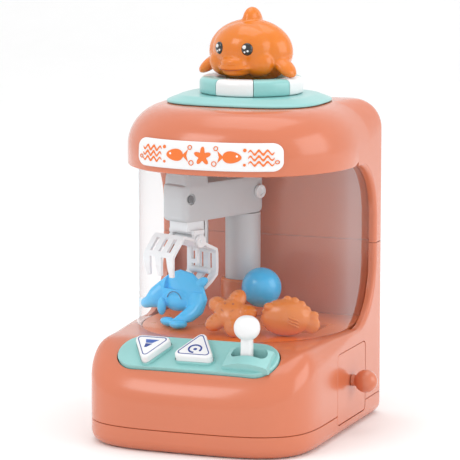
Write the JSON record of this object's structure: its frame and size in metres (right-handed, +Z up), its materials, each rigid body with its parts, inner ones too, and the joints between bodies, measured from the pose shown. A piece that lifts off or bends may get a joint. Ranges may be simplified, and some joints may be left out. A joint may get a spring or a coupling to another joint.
{
  "type": "toy claw crane machine",
  "caption": "Tabletop toy claw machine with a swing-arm grabber behind a curved clear window, slope with joystick and push buttons, prize drawer and lift-off figure lid.",
  "frame": {"origin": "middle of the footprint on the underside", "axes": "+X to the right seen from the front, +Y to the back, +Z up"},
  "size_m": [0.156, 0.1597, 0.2508],
  "materials": {
    "coral": "gloss",
    "teal": "gloss",
    "white": "gloss",
    "orange": "gloss",
    "blue": "gloss",
    "grey": "satin",
    "light_grey": "satin",
    "floor_orange": "satin",
    "steel": "satin",
    "black": "gloss",
    "clear": "satin",
    "acetal": "satin"
  },
  "bodies": {
    "cabinet": {"base_tray": "coral", "lower_housing": "coral", "upper_housing": "coral", "window_cover": "clear", "play_floor": "floor_orange", "prize_chute": "floor_orange", "column_sleeve": "orange", "bearing_plate": "acetal", "control_panel": "teal", "joystick_pin": "steel", "button_guide": "acetal", "raise_button_spring": "steel", "grab_button_spring": "steel", "sign_plate": "white", "base_screw_1": "steel", "base_screw_2": "steel", "base_screw_3": "steel", "base_screw_4": "steel", "prize_ball": "blue", "prize_dolphin": "blue", "prize_starfish": "orange", "prize_fish": "orange"},
    "lid": {"lid_plate": "teal", "ring_segment_1": "white", "ring_segment_2": "teal", "ring_segment_3": "white", "ring_segment_4": "teal", "ring_segment_5": "white", "ring_segment_6": "teal", "ring_segment_7": "white", "ring_segment_8": "teal", "lid_dolphin": "orange", "lid_dolphin_eye_left": "black", "lid_dolphin_eye_right": "black"},
    "drawer": {"drawer_box": "coral", "drawer_knob": "coral", "knob_screw": "steel"},
    "crane": {"column_tube": "grey", "pinion_gear": "acetal", "arm_housing": "grey", "arm_boss": "light_grey", "arm_screw": "steel"},
    "claw": {"hanger_tube": "light_grey", "guide_rod": "steel", "jaw_pin": "steel", "rear_jaw": "light_grey"},
    "front_jaw": {"front_jaw": "light_grey"},
    "joystick": {"joystick_stick": "white", "joystick_ball": "white"},
    "rack": {"steering_rack": "acetal"},
    "raise_button": {"raise_button": "white"},
    "grab_button": {"grab_button": "white"}
  },
  "joints": [
    {"name": "lid_lift", "type": "slide", "parent": "cabinet", "child": "lid", "axis": [0, 0, 1], "range_m": [0, 0.06]},
    {"name": "drawer_slide", "type": "slide", "parent": "cabinet", "child": "drawer", "axis": [1, 0, 0], "range_m": [0, 0.045]},
    {"name": "column_turn", "type": "hinge", "parent": "cabinet", "child": "crane", "pos_m": [-0.0133, 0.055, 0], "axis": [0, 0, 1], "range_deg": [0, 75]},
    {"name": "claw_lift", "type": "slide", "parent": "crane", "child": "claw", "axis": [0, 0, 1], "range_m": [0, 0.005], "stiffness_N_per_m": 30, "springref_m": -0.004},
    {"name": "jaw_swing", "type": "hinge", "parent": "claw", "child": "front_jaw", "pos_m": [-0.03203, 0.00864, 0.112], "axis": [0.9272, -0.3746, 0], "range_deg": [0, 38], "stiffness_Nm_per_rad": 0.0004, "springref_deg": -17.19},
    {"name": "joystick_tilt", "type": "hinge", "parent": "cabinet", "child": "joystick", "pos_m": [0.0326, -0.06, 0.046], "axis": [0, 1, 0], "range_deg": [-0.5, 28.5]},
    {"name": "rack_slide", "type": "slide", "parent": "cabinet", "child": "rack", "axis": [-1, 0, 0], "range_m": [-0.0001, 0.0106]},
    {"name": "raise_press", "type": "slide", "parent": "cabinet", "child": "raise_button", "axis": [0, 0.4914, -0.8709], "range_m": [0, 0.0041], "stiffness_N_per_m": 40, "springref_m": -0.003, "deforming": ["raise_button_spring"]},
    {"name": "grab_press", "type": "slide", "parent": "cabinet", "child": "grab_button", "axis": [0, 0.4914, -0.8709], "range_m": [0, 0.0035], "stiffness_N_per_m": 40, "springref_m": -0.003, "deforming": ["grab_button_spring"]}
  ],
  "couplings": [
    {"joint": "joystick_tilt", "follows": "column_turn", "ratio": 0.3787},
    {"joint": "rack_slide", "follows": "column_turn", "m_per_rad": 0.008},
    {"joint": "raise_press", "follows": "claw_lift", "ratio": 0.8},
    {"joint": "jaw_swing", "follows": "grab_press", "rad_per_m": 175.4}
  ]
}
